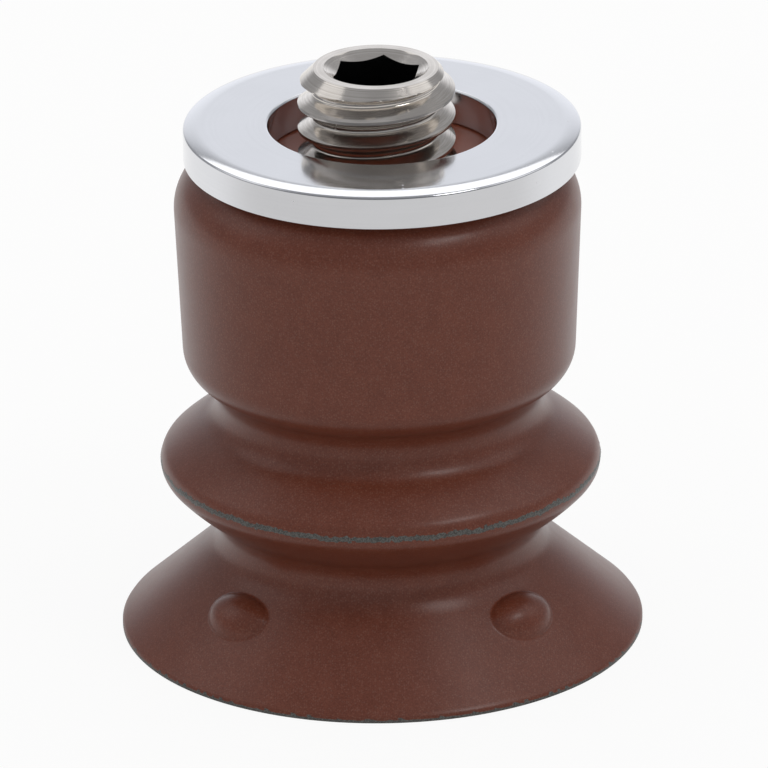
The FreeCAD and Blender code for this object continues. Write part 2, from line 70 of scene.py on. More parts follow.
WHITE = (1.0, 1.0, 1.0, 1.0)
log = logging.getLogger("suction_cup")

Point = tuple[float, float]
Window = tuple[float, float, float]
Colour = tuple[float, float, float, float]
Array = np.ndarray
Piece = bpy.types.Object
Socket = bpy.types.NodeSocket


class Body(str, Enum):
    """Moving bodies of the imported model."""

    COLLAR = "collar"
    FOLD_CREST = "fold_crest"
    FOLD_FOOT = "fold_foot"
    LIP = "lip"
    SCREW = "screw"
    WASHER = "washer"


class Slot(str, Enum):
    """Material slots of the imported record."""

    RUBBER = "rubber"
    SCREW = "screw_steel"
    WASHER = "washer_steel"


@dataclass(frozen=True)
class Round:
    """A circle of a half section, from which the section takes its arcs."""

    centre: Point
    radius: float

    def arc(self, start: float, stop: float, count: int = 160) -> Array:
        """Arc: the centre plus the radius times (cosine, sine) of evenly spaced angles.

        Args:
            start: first angle in degrees.
            stop: last angle in degrees.
            count: number of points.

        Returns:
            Rows of (radius, height).
        """
        turn = np.radians(np.linspace(start, stop, count))
        across = self.centre[0] + self.radius * np.cos(turn)
        return np.stack([across, self.centre[1] + self.radius * np.sin(turn)], axis=1)

    def grown(self, by: float) -> "Round":
        """The same centre with a larger radius."""
        return Round(self.centre, self.radius + by)


def groove(first: Round, second: Round, neck: float, span: Point) -> Round:
    """Circle that touches two others and comes in to a neck, found by halving a span of heights.

    At a height, the radius that touches a circle is the squared distance from its centre to the neck
    point, less its squared radius, over twice its radius less the sideways distance. A negative
    radius stands for a circle that holds the groove within it.

    Args:
        first: circle above the groove.
        second: circle below the groove.
        neck: smallest radius of the groove about the cup's axis.
        span: heights between which the groove's centre lies.

    Returns:
        The groove's circle.
    """
    def reach(other: Round, height: float) -> float:
        """Radius of the groove at a height that touches the other circle."""
        aside, rise = neck - other.centre[0], height - other.centre[1]
        return (rise ** 2 + aside ** 2 - other.radius ** 2) / (2.0 * (other.radius - aside))

    low, high = span
    for _ in range(HALVINGS):
        middle = 0.5 * (low + high)
        if reach(first, middle) > reach(second, middle):
            low = middle
        else:
            high = middle
    radius = reach(first, low)
    return Round((neck + radius, low), radius)


def bearing(origin: Point, target: Point) -> float:
    """Angle in degrees of the way from one point of a half section to another."""
    return math.degrees(math.atan2(target[1] - origin[1], target[0] - origin[0]))


def smooth(value: Array) -> Array:
    """Soft step: 0 below 0, 1 above 1, and three squares less two cubes between."""
    held = np.clip(value, 0.0, 1.0)
    return held * held * (3.0 - 2.0 * held)


def soft_edge(margin: Array, fade: float) -> Array:
    """Mask by the distance inside an edge: a half on the edge, and 0 or 1 half a fade away."""
    return smooth(margin / fade + 0.5)


def ragged(angles: Array, seed: int, waves: tuple[int, int]) -> Array:
    """Closed rough line round the axis: a sum of sines with whole wave counts and fixed phases.

    Args:
        angles: angles round the axis in radians.
        seed: seed of the wave counts and phases.
        waves: lowest wave count, and the one above the highest.

    Returns:
        One value for each angle, with a spread of about one.
    """
    rng = np.random.default_rng(seed)
    counts = rng.integers(waves[0], waves[1], RAGGED_WAVES)
    phases = rng.uniform(0.0, 2.0 * np.pi, RAGGED_WAVES)
    line = np.sin(counts[:, None] * angles[None, :] + phases[:, None]).sum(axis=0)
    return line / line.std()


def even_angles(columns: int) -> Array:
    """Evenly spaced angles round the axis in radians."""
    return np.linspace(0.0, 2.0 * np.pi, columns, endpoint=False)


class Polyline:
    """A half section's run of points, read by distance along it."""

    def __init__(self, points: Array) -> None:
        """Keep the points, without repeats, and their distances along the run.

        Args:
            points: rows of (radius, height).
        """
        keep = np.r_[True, np.hypot(*np.diff(points, axis=0).T) > SAME_POINT]
        self.points = points[keep]
        self.along = np.r_[0.0, np.cumsum(np.hypot(*np.diff(self.points, axis=0).T))]

    def at_height(self, height: float) -> float:
        """Distance along the run where it passes a height.

        Args:
            height: the height to look for.

        Returns:
            The distance from the run's start.
        """
        heights = self.points[:, 1]
        order = np.argsort(heights, kind="stable")
        return float(np.interp(height, heights[order], self.along[order]))

    def read(self, marks: Array) -> Array:
        """Points at given distances along the run."""
        return np.stack([np.interp(marks, self.along, self.points[:, k]) for k in (0, 1)], axis=1)


def stations(start: float, stop: float, step: float, fine: tuple[Window, ...] = ()) -> Array:
    """Distances for the rows of a grid: an even spacing, finer windows, and closer rows at both ends.

    Args:
        start: first distance.
        stop: last distance.
        step: even spacing.
        fine: windows of (from, to, spacing).

    Returns:
        Sorted distances, none closer together than the smallest row gap.
    """
    even = np.linspace(start, stop, int((stop - start) / step) + 2)
    runs = [even, start + SEAM_STEPS, stop - SEAM_STEPS]
    runs += [np.arange(max(low, start), min(high, stop), gap) for low, high, gap in fine]
    marks = np.unique(np.concatenate(runs))
    marks = marks[(marks >= start) & (marks <= stop)]
    return marks[np.r_[True, np.diff(marks) > ROW_GAP]]


@dataclass
class Grid:
    """A surface on rows and columns: radius and height for each row and each angle."""

    radius: Array
    height: Array
    angles: Array

    @classmethod
    def turned(cls, section: Array, angles: Array) -> "Grid":
        """Surface of revolution: the same half section at every angle."""
        whole = np.ones_like(angles)[None, :]
        return cls(section[:, :1] * whole, section[:, 1:] * whole, angles)

    def points(self, shift: Point = (0.0, 0.0)) -> Array:
        """Vertices: radius times (cosine, sine) of the angle, plus a sideways shift.

        Args:
            shift: distance along X and along Y.

        Returns:
            Rows of (x, y, z) in metres.
        """
        across = self.radius * np.cos(self.angles)[None, :] + shift[0]
        back = self.radius * np.sin(self.angles)[None, :] + shift[1]
        return np.stack([across, back, self.height], axis=-1).reshape(-1, 3) * MM

    def faces(self, ring: bool) -> Array:
        """Quads between neighbouring rows and columns, closed round the axis.

        Args:
            ring: whether the last row joins the first one.

        Returns:
            Vertex numbers, four for each quad, turned outwards where the rows run down the outside.
        """
        rows, columns = self.radius.shape
        index = np.arange(rows * columns).reshape(rows, columns)
        upper = index if ring else index[:-1]
        lower = np.roll(index, -1, axis=0) if ring else index[1:]
        beside = np.roll(lower, -1, axis=1), np.roll(upper, -1, axis=1)
        return np.stack([upper, lower, *beside], axis=-1).reshape(-1, 4)


def make_mesh(
    name: str, points: Array, quads: Array, crease: float, masks: dict[str, Array] | None = None,
) -> Piece:
    """Put a grid into a mesh object at the origin.

    Args:
        name: the piece's name.
        points: vertices in metres.
        quads: vertex numbers, four for each face.
        crease: angle in degrees above which an edge stays sharp.
        masks: values for each vertex, by attribute name.

    Returns:
        The new object, linked to the scene.
    """
    mesh = bpy.data.meshes.new(name)
    mesh.vertices.add(len(points))
    mesh.vertices.foreach_set("co", points.astype(np.float32).ravel())
    mesh.loops.add(quads.size)
    mesh.loops.foreach_set("vertex_index", quads.astype(np.int32).ravel())
    mesh.polygons.add(len(quads))
    mesh.polygons.foreach_set("loop_start", np.arange(0, quads.size, 4, dtype=np.int32))
    mesh.update(calc_edges=True)
    for label, values in (masks or {}).items():
        layer = mesh.attributes.new(label, "FLOAT", "POINT")
        layer.data.foreach_set("value", values.astype(np.float32).ravel())
    mesh.validate()
    mesh.shade_smooth()
    mesh.set_sharp_from_angle(angle=math.radians(crease))
    piece = bpy.data.objects.new(name, mesh)
    bpy.context.scene.collection.objects.link(piece)
    log.info("%s: %d points, %d faces", name, len(points), len(quads))
    return piece


@dataclass
class BellowsSection:
    """Half section of the rubber moulding, from arcs that touch one another."""

    height: float = 18.9
    collar_radius: float = 7.69
    foot_radius: float = 7.455
    shoulder: float = 1.9
    corner: float = 1.3
    corner_height: float = 11.45
    fold_radius: float = 8.37
    fold_height: float = 6.75
    nose: float = 0.78
    nose_angle: float = 48.0
    flank: float = 8.0
    under_angle: float = 42.0
    under_flank: float = 8.0
    upper_neck: float = 6.18
    lower_neck: float = 6.25
    flare: float = 4.0
    flare_end: float = 6.9
    lip_radius: float = 9.95
    lip_land: float = 0.18
    lip_edge: float = 0.3
    skirt_angle: float = 41.6
    wall: float = 0.7
    bore: float = 4.98
    bore_cone: float = 0.6
    screw_hole: float = 3.02
    core_foot: float = 14.1
    flange_top: float = 15.5
    core_top: float = 17.7
    flange_pocket: float = 5.72
    hub_pocket: float = 4.22

    def rounds(self) -> dict[str, Round]:
        """Circles of the arcs: each groove touches its two neighbours and comes in to its neck.

        A flank meets the nose at the nose's end angle, so its centre lies behind the nose's by the
        difference of their radii. The flare's centre stands off the skirt, square to it, by its radius.

        Returns:
            The circle of each arc by name.
        """
        turn, under = math.radians(self.nose_angle), math.radians(self.under_angle)
        skirt = math.radians(self.skirt_angle)
        back, sweep = self.flank - self.nose, self.under_flank - self.nose
        nose = (self.fold_radius - self.nose, self.fold_height)
        upper = (nose[0] - back * math.cos(turn), nose[1] - back * math.sin(turn))
        lower = (nose[0] - sweep * math.cos(under), nose[1] + sweep * math.sin(under))
        shoulder = (self.collar_radius - self.shoulder, self.height - self.shoulder)
        corner = (self.foot_radius - self.corner, self.corner_height)
        seat = self.skirt_height(self.flare_end)
        flare = (self.flare_end + self.flare * math.sin(skirt), seat + self.flare * math.cos(skirt))
        found = {
            "shoulder": Round(shoulder, self.shoulder),
            "corner": Round(corner, self.corner),
            "nose": Round(nose, self.nose),
            "upper_flank": Round(upper, self.flank),
            "lower_flank": Round(lower, self.under_flank),
            "flare": Round(flare, self.flare),
        }
        found["upper_groove"] = groove(
            found["corner"], found["upper_flank"], self.upper_neck, (upper[1], corner[1]))
        found["lower_groove"] = groove(
            found["lower_flank"], Round(flare, -self.flare), self.lower_neck, (seat, lower[1]))
        return found

    def skirt_height(self, radius: float) -> float:
        """Height of the straight skirt at a radius."""
        return self.lip_land + (self.lip_radius - radius) * math.tan(math.radians(self.skirt_angle))

    def side_turn(self) -> float:
        """Direction of the collar's drafted side, a line that touches the shoulder and the corner.

        Returns:
            Angle in degrees of the side's outward normal.
        """
        across = self.collar_radius - self.shoulder - self.foot_radius + self.corner
        rise = self.height - self.shoulder - self.corner_height
        tilt = math.asin((self.corner - self.shoulder) / math.hypot(across, rise))
        return math.degrees(tilt - math.atan2(across, rise))

    def outside(self) -> Polyline:
        """Outer run: top face, shoulder, side, corner, groove, fold, groove, flare, skirt, lip land.

        Returns:
            The run, from the screw's hole down to the lip's edge.
        """
        at, side = self.rounds(), self.side_turn()
        bend = bearing(at["corner"].centre, at["upper_groove"].centre)
        rise = bearing(at["upper_flank"].centre, at["upper_groove"].centre)
        fall = bearing(at["lower_flank"].centre, at["lower_groove"].centre)
        flow = bearing(at["flare"].centre, at["lower_groove"].centre)
        return Polyline(np.concatenate([
            np.array([[self.screw_hole, self.height]]),
            at["shoulder"].arc(90.0, side),
            at["corner"].arc(side, bend),
            at["upper_groove"].arc(180.0 + bend, 180.0 + rise),
            at["upper_flank"].arc(rise, self.nose_angle),
            at["nose"].arc(self.nose_angle, -self.under_angle),
            at["lower_flank"].arc(-self.under_angle, fall),
            at["lower_groove"].arc(180.0 + fall, flow % 360.0),
            at["flare"].arc(flow % 360.0, 270.0 - self.skirt_angle),
            np.array([[self.lip_radius, self.lip_land], [self.lip_radius, 0.0]]),
        ]))

    def inside(self) -> Polyline:
        """Inner run, one wall within the outer one: lip edge, skirt, fold, and the bore to the core.

        Returns:
            The run, from the lip's edge up to the core's foot.
        """
        at = self.rounds()
        rise = bearing(at["upper_flank"].centre, at["upper_groove"].centre)
        fall = bearing(at["lower_flank"].centre, at["lower_groove"].centre)
        inner = {name: at[name].grown(self.wall) for name in ("upper_groove", "lower_groove")}
        inner |= {name: at[name].grown(-self.wall) for name in ("lower_flank", "nose", "upper_flank")}
        foot = (self.lip_radius - self.lip_edge, 0.0)
        low = inner["lower_groove"]
        lean = math.degrees(math.acos(low.radius / math.dist(low.centre, foot)))
        cone_top = at["upper_groove"].centre[1] + self.bore_cone
        return Polyline(np.concatenate([
            np.array([[self.lip_radius, 0.0], foot]),
            low.arc(bearing(low.centre, foot) - lean, fall - 180.0),
            inner["lower_flank"].arc(fall, -self.under_angle),
            inner["nose"].arc(-self.under_angle, self.nose_angle),
            inner["upper_flank"].arc(self.nose_angle, rise),
            inner["upper_groove"].arc(180.0 + rise, 180.0),
            np.array([[self.bore, cone_top], [self.bore, self.core_foot]]),
        ]))


@dataclass
class BossRing:
    """Four low oval bosses that stand square on the skirt, longer round the cup than down it."""

    ring_radius: float = 7.55
    around: float = 1.45
    down: float = 0.97
    crown: float = 0.55
    fullness: float = 0.75
    foot: float = 0.05
    turns: tuple[float, ...] = (44.8, 132.8, 222.8, 314.8)
    reach: float = 1.75
    near_step: float = 0.25
    far_step: float = 1.25
    clearance: float = 0.3

    def angles(self) -> Array:
        """Angles of the skirt's columns, close together near the bosses and wider elsewhere.

        Returns:
            Sorted angles in radians.
        """
        wide = math.degrees(self.reach / self.ring_radius)
        near = [np.arange(turn - wide, turn + wide, self.near_step) for turn in self.turns]
        far = np.arange(0.0, 360.0, self.far_step)
        away = np.min([np.abs(far - turn) for turn in self.turns], axis=0)
        return np.radians(np.sort(np.concatenate(near + [far[away > wide + self.clearance]])))

    def rise(self, slide: Array, radius: Array, angles: Array) -> Array:
        """Height above the skirt: a dome with a soft foot.

        The dome is a power of one less the squared distance from the boss's middle, where the
        distance is counted in half lengths of the oval.

        Args:
            slide: distance down the skirt from the ring of centres, for each row.
            radius: radius of each point of the grid.
            angles: angle of each column in radians.

        Returns:
            Height for each point of the grid.
        """
        total = np.zeros_like(radius)
        for turn in np.radians(self.turns):
            gap = (angles - turn + np.pi) % (2.0 * np.pi) - np.pi
            away = np.hypot(slide / self.down, radius * gap[None, :] / self.around)
            inside = 1.0 - away ** 2
            total += self.crown * (0.5 * (inside + np.hypot(inside, self.foot))) ** self.fullness
        return total


@dataclass
class PartingFlash:
    """Thin torn ridge that the mould's parting line leaves round the fold."""

    height: float = 6.80
    proud: float = 0.016
    spread: float = 0.07
    strength: float = 0.75
    strength_change: float = 0.28
    strength_waves: tuple[int, int] = (40, 330)
    half_band: float = 0.102
    wander: float = 0.02
    wander_waves: tuple[int, int] = (3, 40)
    edge_change: float = 0.24
    edge_waves: tuple[int, int] = (12, 260)
    fade: float = 0.05

    def rise(self, heights: Array, angles: Array) -> Array:
        """Ridge: a bell curve over the height, with a strength that wanders round the fold.

        Args:
            heights: height of each point of the grid.
            angles: angle of each column in radians.

        Returns:
            How far each point stands proud.
        """
        change = self.strength_change * ragged(angles, SEED, self.strength_waves)
        strength = np.clip(self.proud * (self.strength + change), 0.0, None)
        return strength[None, :] * np.exp(-(((heights - self.height) / self.spread) ** 2))

    def mask(self, heights: Array, angles: Array) -> Array:
        """Share of torn surface: one inside a band whose two edges wander on their own.

        Args:
            heights: height of each point of the grid.
            angles: angle of each column in radians.

        Returns:
            The share at each point, from 0 to 1.
        """
        wander = self.wander * ragged(angles, SEED + 1, self.wander_waves)
        above, below = (
            self.half_band * (1.0 + self.edge_change * ragged(angles, SEED + draw, self.edge_waves))
            for draw in (2, 3)
        )
        offset = heights - self.height - wander[None, :]
        edge = np.where(offset > 0.0, above[None, :], below[None, :])
        return soft_edge(edge - np.abs(offset), self.fade)


@dataclass(frozen=True)
class RowSpacing:
    """Distances between the rows of the cup's grids, and how far the finer windows reach."""

    collar: float = 0.12
    bore: float = 0.6
    fold: float = 0.09
    fold_inside: float = 0.3
    flash: float = 0.016
    flash_reach: float = 0.3
    skirt: float = 0.14
    skirt_inside: float = 0.4
    boss: float = 0.04
    boss_margin: float = 0.15


@dataclass
class BellowsCup:
    """The rubber moulding, in four zones that meet at its living hinges."""

    section: BellowsSection = field(default_factory=BellowsSection)
    bosses: BossRing = field(default_factory=BossRing)
    flash: PartingFlash = field(default_factory=PartingFlash)
    spacing: RowSpacing = RowSpacing()
    collar_hinge: float = 9.23
    crest_hinge: float = 6.88
    lip_hinge: float = 3.45
    upper_travel: float = 1.5
    lower_travel: float = 2.0
    tilt_end: float = 1.2
    # Painted light: radius inside which the collar's top face is painted brighter, in place of light thrown
    # into the washer's hole, and the fade of that edge.
    painted_hole_light: float = 5.6
    painted_light_fade: float = 0.5
    top_margin: float = 0.01
    worn_height: float = 0.125
    worn_change: float = 0.022
    worn_waves: tuple[int, int] = (20, 200)
    worn_fade: float = 0.05
    collar_columns: int = 360
    fold_columns: int = 720
    crease: float = 35.0

    def build(self, finish: bpy.types.Material) -> list[Piece]:
        """Make the four zones, put the collar and the fold walls on their bodies, and dress each.

        Args:
            finish: the rubber's material.

        Returns:
            The four pieces.
        """
        pieces = [self.collar(), self.upper_fold(), self.lower_fold(), self.lip()]
        for piece in pieces:
            piece.data.materials.append(finish)
        return pieces

    def collar(self) -> Piece:
        """Collar: the outer run down to the upper groove, the bore, and the core's stepped pocket.

        Returns:
            The piece, on its body.
        """
        part, gap = self.section, self.spacing
        outer, inner = part.outside(), part.inside()
        skin = outer.read(stations(0.0, outer.at_height(self.collar_hinge), gap.collar))
        bore = inner.read(stations(inner.at_height(self.collar_hinge), inner.along[-1], gap.bore))
        pocket = np.array([
            [part.flange_pocket, part.core_foot], [part.flange_pocket, part.flange_top],
            [part.hub_pocket, part.flange_top], [part.hub_pocket, part.core_top],
            [part.screw_hole, part.core_top],
        ])
        grid = Grid.turned(np.concatenate([skin, bore, pocket]), even_angles(self.collar_columns))
        # Painted light: mask on the top face inside the washer's hole, where the rubber is coloured brighter
        # in place of the light that falls into the hole.
        hole_light_paint = smooth((self.painted_hole_light - grid.radius) / self.painted_light_fade)
        masks = {"painted_hole_light": hole_light_paint * (grid.height > part.height - self.top_margin)}
        piece = make_mesh("collar_skin", grid.points(), grid.faces(ring=True), self.crease, masks)
        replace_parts(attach(piece, Body.COLLAR.value), "cup_collar")
        return piece

    def fold(self, name: str, top: float, foot: float) -> Piece:
        """One fold wall: outer and inner run between two heights, with the torn parting ridge.

        Args:
            name: the piece's name.
            top: upper hinge height.
            foot: lower hinge height.

        Returns:
            The piece, not yet on a body.
        """
        outer, inner, gap = self.section.outside(), self.section.inside(), self.spacing
        seam = outer.at_height(self.flash.height)
        window = (seam - gap.flash_reach, seam + gap.flash_reach, gap.flash)
        rows = stations(outer.at_height(top), outer.at_height(foot), gap.fold, (window,))
        skin = outer.read(rows)
        back = inner.read(stations(inner.at_height(foot), inner.at_height(top), gap.fold_inside))
        grid = Grid.turned(np.concatenate([skin, back]), even_angles(self.fold_columns))
        mask = np.zeros_like(grid.radius)
        front = slice(0, len(skin))
        mask[front] = self.flash.mask(grid.height[front], grid.angles)
        grid.radius[front] += self.flash.rise(grid.height[front], grid.angles)
        return make_mesh(name, grid.points(), grid.faces(ring=True), self.crease, {"torn": mask})

    def upper_fold(self) -> Piece:
        """Upper fold wall, between the collar's hinge and the crest's hinge.

        Returns:
            The piece, on its body.
        """
        piece = self.fold("upper_fold_skin", self.collar_hinge, self.crest_hinge)
        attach(piece, Body.FOLD_CREST.value)
        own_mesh(piece)
        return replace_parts(piece, "upper_fold_wall")

    def lower_fold(self) -> Piece:
        """Lower fold wall, between the crest's hinge and the lip's hinge.

        Returns:
            The piece, on its body.
        """
        piece = self.fold("lower_fold_skin", self.crest_hinge, self.lip_hinge)
        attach(piece, Body.FOLD_FOOT.value)
        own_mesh(piece)
        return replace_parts(piece, "lower_fold_wall")

    def lip(self) -> Piece:
        """Skirt and sealing lip with its bosses, from the lip's hinge down to the lip's edge.

        A boss lifts the skin square to the skirt, and the lip's edge is torn up to a ragged height.

        Returns:
            The piece.
        """
        part, gap = self.section, self.spacing
        outer, inner = part.outside(), part.inside()
        tilt = math.radians(part.skirt_angle)
        middle = outer.at_height(part.skirt_height(self.bosses.ring_radius))
        reach, margin = self.bosses.down, gap.boss_margin
        window = (middle - reach - margin, middle + reach + margin, gap.boss)
        rows = stations(outer.at_height(self.lip_hinge), outer.along[-1], gap.skirt, (window,))
        skin = outer.read(rows)
        back = inner.read(stations(0.0, inner.at_height(self.lip_hinge), gap.skirt_inside))
        grid = Grid.turned(np.concatenate([skin, back]), self.bosses.angles())
        front = slice(0, len(skin))
        rise = self.bosses.rise((rows - middle)[:, None], grid.radius[front], grid.angles)
        grid.radius[front] += rise * math.sin(tilt)
        grid.height[front] += rise * math.cos(tilt)
        mask = np.zeros_like(grid.radius)
        worn = self.worn_height + self.worn_change * ragged(grid.angles, SEED + 5, self.worn_waves)
        mask[front] = soft_edge(worn[None, :] - grid.height[front], self.worn_fade)
        piece = make_mesh("lip_skin", grid.points(), grid.faces(ring=True), self.crease, {"torn": mask})
        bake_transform(piece)
        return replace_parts(piece, "sealing_lip")


@dataclass
class SetScrew:
    """Hollow set screw: a right-hand thread, a chamfered end and a six-sided passage."""

    crest: float = 2.97
    root: float = 2.36
    pitch: float = 1.0
    half_angle: float = 30.0
    crest_share: float = 1.0 / 16.0
    root_lift: float = 0.03
    root_sharpness: float = 30.0
    phase: float = 0.628
    top: float = 22.53
    thread_foot: float = 17.75
    runout_slope: float = 2.0
    shank: float = 2.675
    lap: float = 0.01
    foot: float = 14.53
    foot_chamfer: float = 0.4
    mouth: float = 1.95
    mouth_angle: float = 120.0
    edge: float = 0.03
    flats: float = 3.0
    key_turn: float = 20.0
    columns: int = 288
    rows: int = 32
    sink_rows: int = 7
    wall_shares: Point = (0.08, 0.92)
    wall_rows: int = 8
    crease: float = 32.0
    merge_m: float = 2e-7
    empty_m: float = 1e-8

    def build(self, finish: bpy.types.Material) -> Piece:
        """Make the screw, put it on its body and dress it.

        Args:
            finish: the screw's material.

        Returns:
            The piece.
        """
        points, quads = self.thread()
        inner, inner_quads, depth = self.passage()
        masks = {"broached": np.concatenate([np.zeros(len(points)), depth])}
        faces = np.concatenate([quads, inner_quads + len(points)])
        piece = make_mesh("set_screw_body", np.concatenate([points, inner]), faces, self.crease, masks)
        self.close(piece.data)
        piece.data.materials.append(finish)
        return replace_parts(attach(piece, Body.SCREW.value), "hollow_set_screw")

    def flank(self, lift: Array) -> Array:
        """Thread radius by height above the crest's middle: a flat crest, flanks and a round root.

        The round root is a soft maximum, the logarithm of a sum of exponentials, of the flank and of
        a level a little above the root.

        Args:
            lift: height above the helix of the crest.

        Returns:
            The radius for each height.
        """
        away = np.abs((lift / self.pitch + 0.5) % 1.0 - 0.5) * self.pitch
        fall = np.clip(away - self.pitch * self.crest_share, 0.0, None)
        slope = self.crest - fall / math.tan(math.radians(self.half_angle))
        sharp = self.root_sharpness
        total = np.exp(sharp * (slope - self.root)) + np.exp(sharp * self.root_lift)
        return np.log(total) / sharp + self.root

    def thread(self) -> tuple[Array, Array]:
        """Helical surface: rows climb one pitch each turn, and stop at both ends of the thread.

        The height of a point is its row's height plus the pitch times its share of a turn, and its
        radius is the smallest of the thread, the top chamfer and the run-out at the foot. The rows
        start a pitch and a half below the thread, and a row's last column joins the row one turn up.

        Returns:
            Vertices in metres and quads.
        """
        step = self.pitch / self.rows
        count = int(round((self.top - self.thread_foot + 2.0 * self.pitch) / step))
        start = self.thread_foot - 1.5 * self.pitch + step * np.arange(count + self.rows)
        angles = even_angles(self.columns)
        climb = start[:, None] + self.pitch * angles[None, :] / (2.0 * np.pi)
        level = np.clip(climb, self.thread_foot, self.top)
        bevel = self.root + self.top - level
        runout = self.shank - self.lap + self.runout_slope * (level - self.thread_foot)
        radius = np.minimum(np.minimum(self.flank(start - self.phase)[:, None], bevel), runout)
        index = np.arange(radius.size).reshape(radius.shape)
        ahead = np.concatenate([index[: -self.rows, 1:], index[self.rows:, :1]], axis=1)
        here = index[: -self.rows]
        quads = np.stack([here[:-1], ahead[:-1], ahead[1:], here[1:]], axis=-1)
        return Grid(radius, level, angles).points(), quads.reshape(-1, 4)

    def passage(self) -> tuple[Array, Array, Array]:
        """Top face, countersink, broached six-sided passage, lower countersink, foot and plain shank.

        The passage's radius is half the flats over the cosine of the angle from the nearest flat, and
        the countersink's height falls with the distance inside its mouth.

        Returns:
            Vertices in metres, quads, and 1 for each vertex of the broached walls.
        """
        angles = even_angles(self.columns)
        turn = (np.degrees(angles) - self.key_turn) % 60.0 - 30.0
        key = 0.5 * self.flats / np.cos(np.radians(turn))
        fall = 1.0 / math.tan(math.radians(0.5 * self.mouth_angle))
        rings: list[tuple[Array, Array, Array]] = []

        def ring(radius: float | Array, height: float | Array, broached: float = 0.0) -> None:
            """Add one row of points to the surface."""
            blank = np.zeros_like(angles)
            rings.append((radius + blank, height + blank, broached + blank))

        ring(self.root, self.top)
        ring(self.mouth + self.edge, self.top)
        for share in np.linspace(0.0, 1.0, self.sink_rows):
            radius = self.mouth + share * (key - self.mouth)
            ring(radius, self.top - self.edge - fall * (self.mouth - radius))
        ring(key, self.top - 2.0 * self.edge - fall * (self.mouth - key), 1.0)
        for share in np.linspace(*self.wall_shares, self.wall_rows):
            ring(key, self.top - share * (self.top - self.foot), 1.0)
        for share in np.linspace(1.0, 0.0, self.sink_rows):
            radius = self.mouth + share * (key - self.mouth)
            ring(radius, self.foot + self.edge + fall * (self.mouth - radius))
        ring(self.mouth + self.edge, self.foot)
        ring(self.shank - self.foot_chamfer, self.foot)
        ring(self.shank, self.foot + self.foot_chamfer)
        ring(self.shank, self.thread_foot - self.lap)
        ring(self.shank - self.lap, self.thread_foot)
        radii, heights, broached = (np.array(rows) for rows in zip(*rings))
        grid = Grid(radii, heights, angles)
        return grid.points(), grid.faces(ring=False)[:, ::-1], broached.ravel()

    def close(self, mesh: bpy.types.Mesh) -> None:
        """Merge the rings that meet, drop empty faces and turn every face outwards.

        Args:
            mesh: the screw's mesh.
        """
        work = bmesh.new()
        work.from_mesh(mesh)
        bmesh.ops.remove_doubles(work, verts=work.verts, dist=self.merge_m)
        bmesh.ops.dissolve_degenerate(work, edges=work.edges, dist=self.empty_m)
        loose = [vertex for vertex in work.verts if not vertex.link_faces]
        bmesh.ops.delete(work, geom=loose, context="VERTS")
        bmesh.ops.recalc_face_normals(work, faces=work.faces)
        work.to_mesh(mesh)
        work.free()
        mesh.shade_smooth()
        mesh.set_sharp_from_angle(angle=math.radians(self.crease))


@dataclass
class LooseWasher:
    """Polished flat washer that lies a little to one side on the collar."""

    radius: float = 7.5
    bore: float = 4.3
    foot: float = 18.9
    thickness: float = 1.4
    edge: float = 0.1
    edge_points: int = 9
    roll: float = 0.6
    drop: float = 0.1
    roll_points: int = 14
    margin: float = 0.02
    shift: float = 0.2
    columns: int = 384
    crease: float = 40.0

    def build(self, finish: bpy.types.Material) -> Piece:
        """Make the washer, put it on its body and dress it.

        Args:
            finish: the washer's material.

        Returns:
            The piece.
        """
        grid = Grid.turned(self.profile(), even_angles(self.columns))
        points = grid.points((self.shift, 0.0))
        piece = make_mesh("washer_ring", points, grid.faces(ring=True), self.crease)
        piece.data.materials.append(finish)
        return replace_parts(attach(piece, Body.WASHER.value), "loose_washer")

    def rolled_edge(self) -> Array:
        """Tumbled top edge: a parabola that falls from the flat, then an arc that turns down to the rim.

        Returns:
            Rows of (radius, height).
        """
        lean = math.atan2(2.0 * self.drop, self.roll)
        reach = self.radius - self.edge * (1.0 - math.sin(lean))
        share = np.linspace(0.0, 1.0, self.roll_points)
        top = self.foot + self.thickness
        fall = np.stack([reach + self.roll * (share - 1.0), top - self.drop * share ** 2], axis=1)
        turn = Round((self.radius - self.edge, fall[-1, 1] - self.edge * math.cos(lean)), self.edge)
        return np.concatenate([fall, turn.arc(90.0 - math.degrees(lean), 0.0, self.edge_points)[1:]])

    def profile(self) -> Array:
        """Closed half section: flats with rows close to the four rounded edges.

        Returns:
            Rows of (radius, height).
        """
        top, near, count = self.foot + self.thickness, self.margin, self.edge_points
        out, within = self.radius - self.edge, self.bore + self.edge
        high, low = top - self.edge, self.foot + self.edge
        middle = 0.5 * (within + out)
        outer = self.rolled_edge()
        return np.concatenate([
            np.array([[within + near, top], [middle, top], [outer[0, 0] - near, top]]),
            outer,
            np.array([[self.radius, outer[-1, 1] - near], [self.radius, low + near]]),
            Round((out, low), self.edge).arc(0.0, -90.0, count),
            np.array([[out - near, self.foot], [middle, self.foot], [within + near, self.foot]]),
            Round((within, low), self.edge).arc(270.0, 180.0, count),
            np.array([[self.bore, low + near], [self.bore, high - near]]),
            Round((within, high), self.edge).arc(180.0, 90.0, count),
        ])


